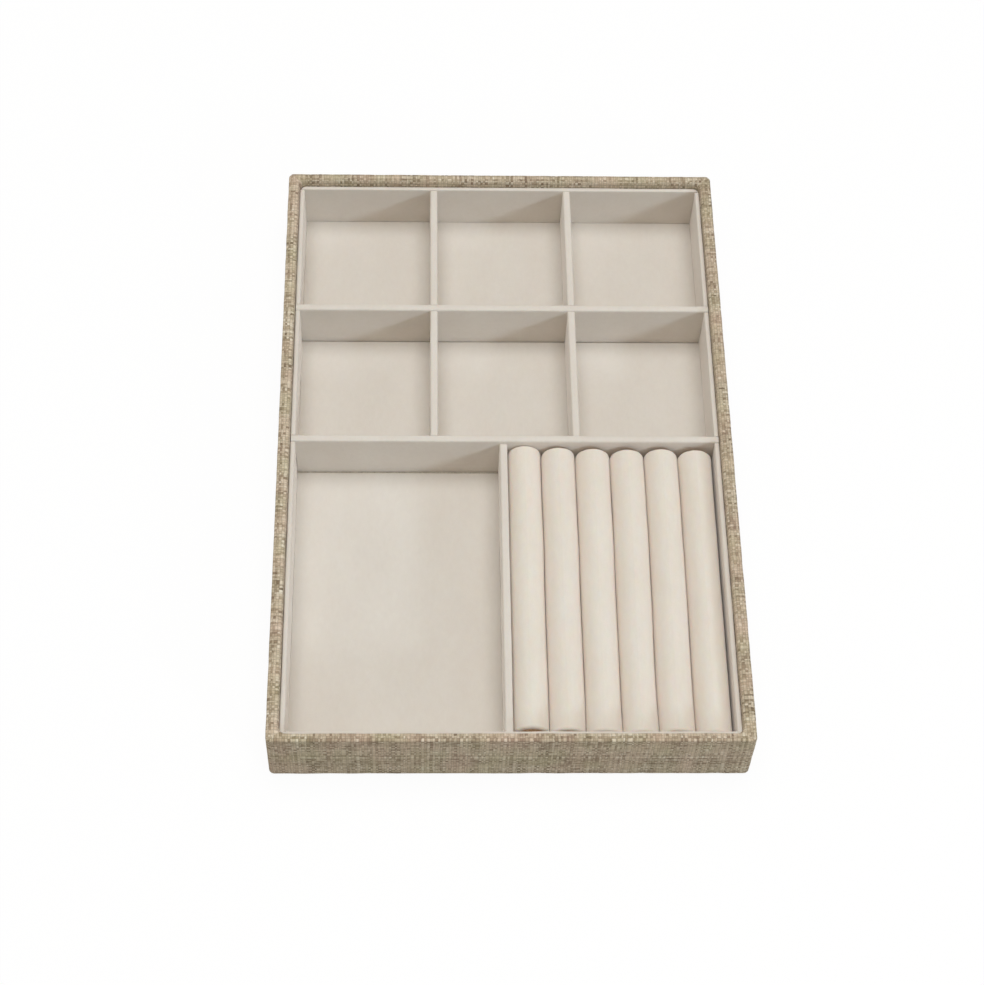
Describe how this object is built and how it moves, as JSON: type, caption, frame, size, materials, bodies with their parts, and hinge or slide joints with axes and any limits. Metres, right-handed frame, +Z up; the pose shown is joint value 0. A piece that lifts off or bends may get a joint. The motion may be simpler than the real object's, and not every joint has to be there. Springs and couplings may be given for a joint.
{
  "type": "jewelry tray",
  "caption": "Shallow rectangular tray wrapped in linen, with a velvet lining, square and large open compartments, and a bay of soft ring rolls.",
  "frame": {"origin": "centre of the flat underside", "axes": "+X to the ring rolls' side, +Y to the rows of small compartments, +Z up out of the tray"},
  "size_m": [0.235, 0.35, 0.037],
  "materials": {
    "linen": "matte",
    "board": "matte",
    "velvet": "matte",
    "roll_velvet": "matte",
    "foam": "matte",
    "felt": "matte"
  },
  "bodies": {
    "tray": {"base_board": "board", "base_felt": "felt", "front_cross_divider_board": "board", "front_cross_divider_velvet": "velvet", "front_liner_board": "board", "front_liner_velvet": "velvet", "front_wall_board": "board", "large_floor_card": "board", "large_floor_velvet": "velvet", "left_liner_board": "board", "left_liner_velvet": "velvet", "left_long_divider_board": "board", "left_long_divider_velvet": "velvet", "left_wall_board": "board", "linen_cover": "linen", "rear_centre_floor_card": "board", "rear_centre_floor_velvet": "velvet", "rear_cross_divider_board": "board", "rear_cross_divider_velvet": "velvet", "rear_left_floor_card": "board", "rear_left_floor_velvet": "velvet", "rear_liner_board": "board", "rear_liner_velvet": "velvet", "rear_right_floor_card": "board", "rear_right_floor_velvet": "velvet", "rear_wall_board": "board", "right_liner_board": "board", "right_liner_velvet": "velvet", "right_long_divider_board": "board", "right_long_divider_velvet": "velvet", "right_wall_board": "board", "ring_bay_floor_card": "board", "ring_bay_floor_velvet": "velvet", "second_centre_floor_card": "board", "second_centre_floor_velvet": "velvet", "second_left_floor_card": "board", "second_left_floor_velvet": "velvet", "second_right_floor_card": "board", "second_right_floor_velvet": "velvet", "section_divider_board": "board", "section_divider_velvet": "velvet"},
    "ring_roll_1": {"ring_roll_1_foam": "foam", "ring_roll_1_sleeve": "roll_velvet"},
    "ring_roll_2": {"ring_roll_2_foam": "foam", "ring_roll_2_sleeve": "roll_velvet"},
    "ring_roll_3": {"ring_roll_3_foam": "foam", "ring_roll_3_sleeve": "roll_velvet"},
    "ring_roll_4": {"ring_roll_4_foam": "foam", "ring_roll_4_sleeve": "roll_velvet"},
    "ring_roll_5": {"ring_roll_5_foam": "foam", "ring_roll_5_sleeve": "roll_velvet"},
    "ring_roll_6": {"ring_roll_6_foam": "foam", "ring_roll_6_sleeve": "roll_velvet"}
  },
  "joints": [
    {"name": "ring_roll_1_lift", "type": "slide", "parent": "tray", "child": "ring_roll_1", "axis": [0, 0, 1], "range_m": [0, 0.045]},
    {"name": "ring_roll_2_lift", "type": "slide", "parent": "tray", "child": "ring_roll_2", "axis": [0, 0, 1], "range_m": [0, 0.045]},
    {"name": "ring_roll_3_lift", "type": "slide", "parent": "tray", "child": "ring_roll_3", "axis": [0, 0, 1], "range_m": [0, 0.045]},
    {"name": "ring_roll_4_lift", "type": "slide", "parent": "tray", "child": "ring_roll_4", "axis": [0, 0, 1], "range_m": [0, 0.045]},
    {"name": "ring_roll_5_lift", "type": "slide", "parent": "tray", "child": "ring_roll_5", "axis": [0, 0, 1], "range_m": [0, 0.045]},
    {"name": "ring_roll_6_lift", "type": "slide", "parent": "tray", "child": "ring_roll_6", "axis": [0, 0, 1], "range_m": [0, 0.045]}
  ]
}
